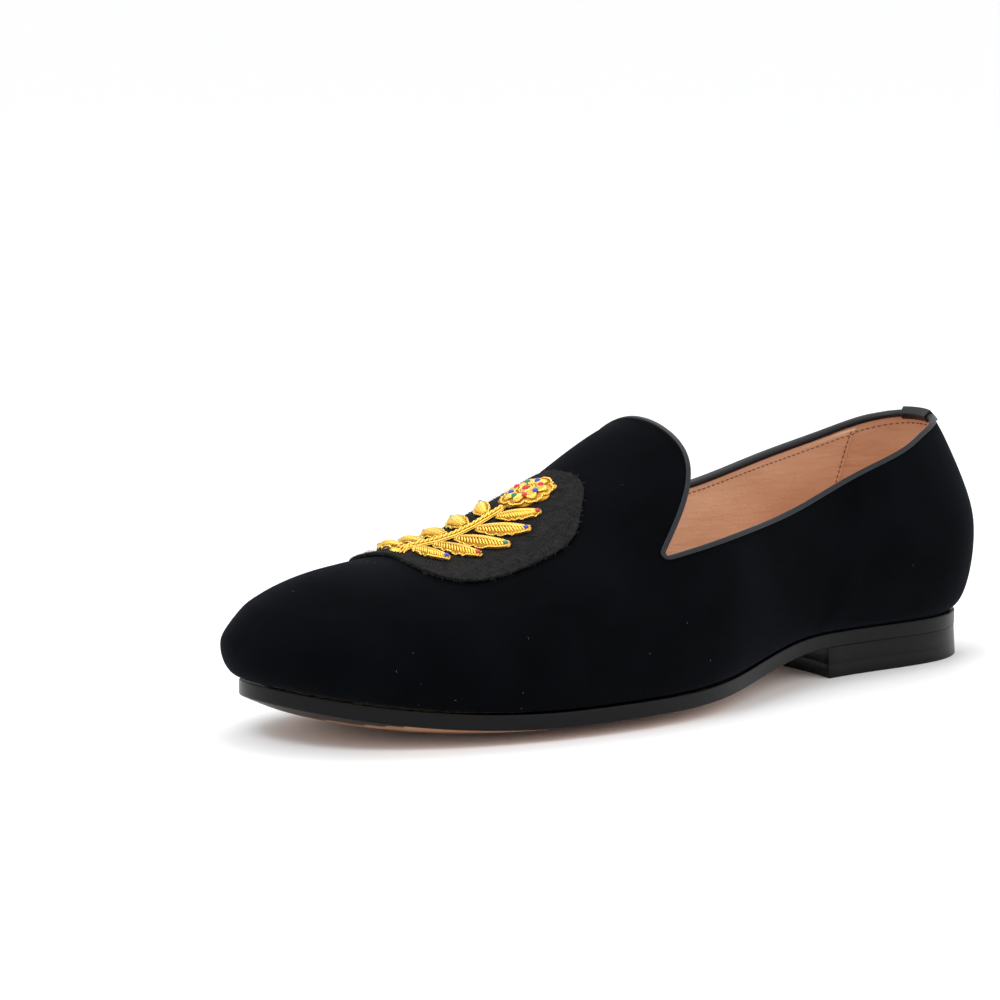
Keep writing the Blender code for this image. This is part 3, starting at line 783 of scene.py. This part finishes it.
def cover_blossom(small):
    """Petals as fans of wire with a twisted rim, and a coil in the middle."""
    blossom = pad_profile("spray_blossom", 8)
    out = blossom[3]
    angles = np.linspace(0, 2 * math.pi, 49)
    reaches = [pad_reach(blossom, a) for a in angles]

    def on_blossom(share, turn, lift):
        radius = share * float(np.interp(turn % (2 * math.pi), angles, reaches))
        return over_pad(blossom, radius * math.cos(turn), radius * math.sin(turn), lift)
    for k in range(PETALS):
        middle = 2 * math.pi * k / PETALS
        for lane in np.linspace(-1, 1, FAN):
            path = []
            for f in np.linspace(0, 1, 7):
                spread = lane * math.pi / PETALS * (0.55 + 0.33 * math.sin(math.pi * min(f * 1.25, 1)))
                tip = 0.90 - 0.16 * lane ** 2
                path.append(on_blossom(0.36 + (tip - 0.36) * f, middle + spread, WIRE * 0.9))
            radii = WIRE * np.array([0.7, 1, 1, 1, 1, 1, 0.6])
            small.add(sweep(path, out, radii), 0, length_along(np.array(path)))
        turn = np.linspace(-1, 1, 17)
        rim = [on_blossom(1.0 - 0.20 * abs(a) ** 2.5, middle + a * math.pi / PETALS, CORD * 0.5)
               for a in turn]
        add_twist(small, rim, out, CORD * 0.42, CORD * 0.55, CORD_PITCH)
    turns = np.linspace(0.3, 3.2, 100)
    coil = [on_blossom(0.098 * a, 2 * math.pi * a, WIRE * 1.1) for a in turns]
    small.add(sweep(coil, out, np.full(len(coil), WIRE * 1.1)), 0, length_along(np.array(coil)))
    return blossom, min(reaches)


def make_gold():
    small = Small()
    leaves = sorted(n for n in NODES if n.startswith("spray_leaf"))
    for name in leaves:
        cover_leaf(small, name, 0.9)
    cover_stem(small)
    blossom = cover_blossom(small)
    small.build("gold_wirework", ["gold"], "gold_thread")
    # The pads take the darker gold, which is painted shade between the wires over the pads' own gold
    for name in leaves + ["spray_stem", "spray_blossom"]:
        NODES[name].data.materials.clear()
        NODES[name].data.materials.append(LOOKS["gold_pad_with_painted_shade"])
    return blossom


def ball(centre, radius, out, squash=0.8):
    """Rings of a small knot."""
    rings = []
    for tip in np.linspace(0.06, 0.94, 6) * math.pi:
        rings.append((centre - out * radius * squash * math.cos(tip), radius * math.sin(tip)))
    side = np.cross(out, (0.0, 1.0, 0.2))
    side /= np.linalg.norm(side)
    other = np.cross(out, side)
    turn = np.arange(10) * 2 * math.pi / 10
    ring = np.cos(turn)[:, None] * side + np.sin(turn)[:, None] * other
    return np.array([p + r * ring for p, r in rings])


def make_knots(blossom, reach):
    """Coloured knots between the petals, in the blossom's middle and at the leaves' tips."""
    small = Small()
    out = blossom[3]
    for k in range(PETALS):
        turn = 2 * math.pi * (k + 0.5) / PETALS
        r = reach * 0.62
        spot = over_pad(blossom, r * math.cos(turn), r * math.sin(turn), KNOT * 0.5)
        small.add(ball(spot, KNOT, out), k % 3)
    small.add(ball(over_pad(blossom, 0, 0, KNOT * 0.5), KNOT * 1.3, out), 0)
    for n, name in enumerate(sorted(n for n in NODES if n.startswith("spray_leaf"))):
        shape = pad_profile(name, 4)
        rows = shape[5]
        outward = shape[1][0] * (shape[0][0] + STEM_MEDIAL) > 0
        tip = 1.42 * (rows[-1][0] if outward else rows[0][0])
        spot = over_pad(shape, tip, 0, KNOT * 0.4)
        small.add(ball(spot, KNOT * 0.85, shape[3]), (n + 1) % 3)
    small.build("colour_knots", ["red", "blue", "green"], "gold_thread")


make_knots(*make_gold())


# Floor, light and camera

def add_area(name, place, aim, size, power):
    light = bpy.data.lights.new(name, "AREA")
    light.shape = "DISK"
    light.size = size
    light.energy = power
    item = bpy.data.objects.new(name, light)
    item.location = place
    item.rotation_euler = (Vector(aim) - Vector(place)).to_track_quat("-Z", "Y").to_euler()
    scene.collection.objects.link(item)


def make_set():
    """A pale floor under an even white sky, with three soft lamps."""
    half = 20.0
    corners = [(-half, -half, 0), (half, -half, 0), (half, half, 0), (-half, half, 0)]
    floor_look = material("floor_pale", (0.93, 0.93, 0.932), 0.6, Specular_IOR_Level=0.2)
    floor = mesh_object("floor", corners, [(0, 1, 2, 3)], [floor_look], smooth=False)
    world = bpy.data.worlds.new("studio")
    world.use_nodes = True
    world.node_tree.nodes["Background"].inputs["Color"].default_value = (1, 1, 1, 1)
    world.node_tree.nodes["Background"].inputs["Strength"].default_value = 1.06
    scene.world = world
    add_area("key", (0.25, -0.85, 1.25), (0, 0, 0.03), 0.7, 7)
    add_area("fill", (1.3, 0.5, 0.7), (0, 0.05, 0.03), 1.2, 3)
    add_area("top", (-0.3, 0.3, 1.3), (0, 0.02, 0.03), 0.9, 5)
    scene.view_settings.view_transform = "Standard"
    scene.view_settings.exposure = 0.0


def make_camera():
    """The photograph's angle and frame."""
    a = math.radians(AZIMUTH)
    e = math.radians(ELEVATION)
    back = Vector((math.sin(a) * math.cos(e), -math.cos(a) * math.cos(e), math.sin(e)))
    right = Vector((math.cos(a), math.sin(a), 0))
    up = back.cross(right)
    aim = Vector((0, 0, AIM_HEIGHT)) + right * AIM_RIGHT + up * AIM_UP
    lens = bpy.data.cameras.new("camera")
    lens.sensor_width = 36
    lens.lens = LENS
    lens.clip_end = 100
    item = bpy.data.objects.new("camera", lens)
    turned = Matrix((right, up, back)).transposed().to_4x4()
    item.matrix_world = Matrix.Translation(aim + back * DISTANCE) @ turned
    scene.collection.objects.link(item)
    scene.camera = item


make_set()
make_camera()
